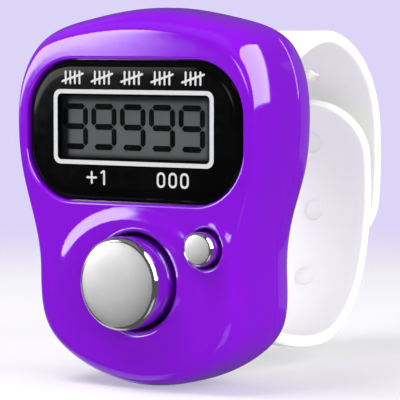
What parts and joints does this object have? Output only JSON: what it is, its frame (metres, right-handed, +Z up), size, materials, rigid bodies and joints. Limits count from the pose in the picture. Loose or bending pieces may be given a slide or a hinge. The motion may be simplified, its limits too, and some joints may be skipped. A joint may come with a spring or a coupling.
{
  "type": "finger tally counter",
  "caption": "Finger-worn electronic tally counter: waisted glossy case with a display window, a large press button and a small reset button, on a silicone loop strap.",
  "frame": {"origin": "under the middle of the bounding box, level with the lowest point of the case", "axes": "-Y out of the display and buttons, +Y from the case into the strap loop, +X to the right as seen from the front, +Z up the case"},
  "size_m": [0.031, 0.0446, 0.04],
  "materials": {
    "case_purple": "high-gloss moulded",
    "lens_black": "polished",
    "adhesive": "matt",
    "black_plastic": "fine texture",
    "lcd_film": "satin",
    "lcd_glass": "polished",
    "elastomer": "matt",
    "board_laminate": "solder mask",
    "epoxy": "glossy drop",
    "ceramic": "fired",
    "steel": "nickel plated",
    "button_chrome": "satin",
    "carbon": "matt",
    "keypad_rubber": "matt",
    "strap_silicone": "translucent, satin"
  },
  "bodies": {
    "case": {"front_case": "case_purple", "rear_case": "case_purple", "display_lens": "lens_black", "lens_adhesive": "adhesive", "lcd_frame": "black_plastic", "lcd_front_polarizer": "lcd_film", "lcd_front_glass": "lcd_glass", "lcd_rear_glass": "lcd_glass", "lcd_reflector": "lcd_film", "zebra_connector": "elastomer", "circuit_board": "board_laminate", "chip_blob": "epoxy", "smd_capacitor": "ceramic", "smd_resistor": "black_plastic", "pcb_screw_left": "steel", "pcb_screw_right": "steel", "keypad_membrane": "keypad_rubber", "button_cell": "steel", "battery_contact_positive": "steel", "battery_contact_negative": "steel", "case_screw_1": "steel", "case_screw_2": "steel", "case_screw_3": "steel", "case_screw_4": "steel"},
    "count_button": {"count_button": "button_chrome", "count_contact_pill": "carbon"},
    "reset_button": {"reset_button": "button_chrome", "reset_contact_pill": "carbon"},
    "battery_door": {"battery_door": "case_purple", "battery_door_screw": "steel"},
    "upper_strap": {"upper_strap": "strap_silicone"},
    "lower_strap": {"lower_strap": "strap_silicone"}
  },
  "joints": [
    {"name": "count_press", "type": "slide", "parent": "case", "child": "count_button", "axis": [0, 1, 0], "range_m": [0, 0.001], "stiffness_N_per_m": 900, "springref_m": -0.0005, "deforming": ["keypad_membrane"]},
    {"name": "reset_press", "type": "slide", "parent": "case", "child": "reset_button", "axis": [0, 1, 0], "range_m": [0, 0.0008], "stiffness_N_per_m": 700, "springref_m": -0.0005, "deforming": ["keypad_membrane"]},
    {"name": "battery_door_lift", "type": "slide", "parent": "case", "child": "battery_door", "axis": [0, 1, 0], "range_m": [0, 0.01]},
    {"name": "upper_strap_bend", "type": "hinge", "parent": "case", "child": "upper_strap", "pos_m": [0, -0.00735, 0.0304], "axis": [1, 0, 0], "range_deg": [0, 45], "stiffness_Nm_per_rad": 0.02, "deforming": ["upper_strap"]},
    {"name": "lower_strap_bend", "type": "hinge", "parent": "case", "child": "lower_strap", "pos_m": [0, -0.00735, 0.0054], "axis": [1, 0, 0], "range_deg": [0, 12], "stiffness_Nm_per_rad": 0.02, "deforming": ["lower_strap"]}
  ]
}
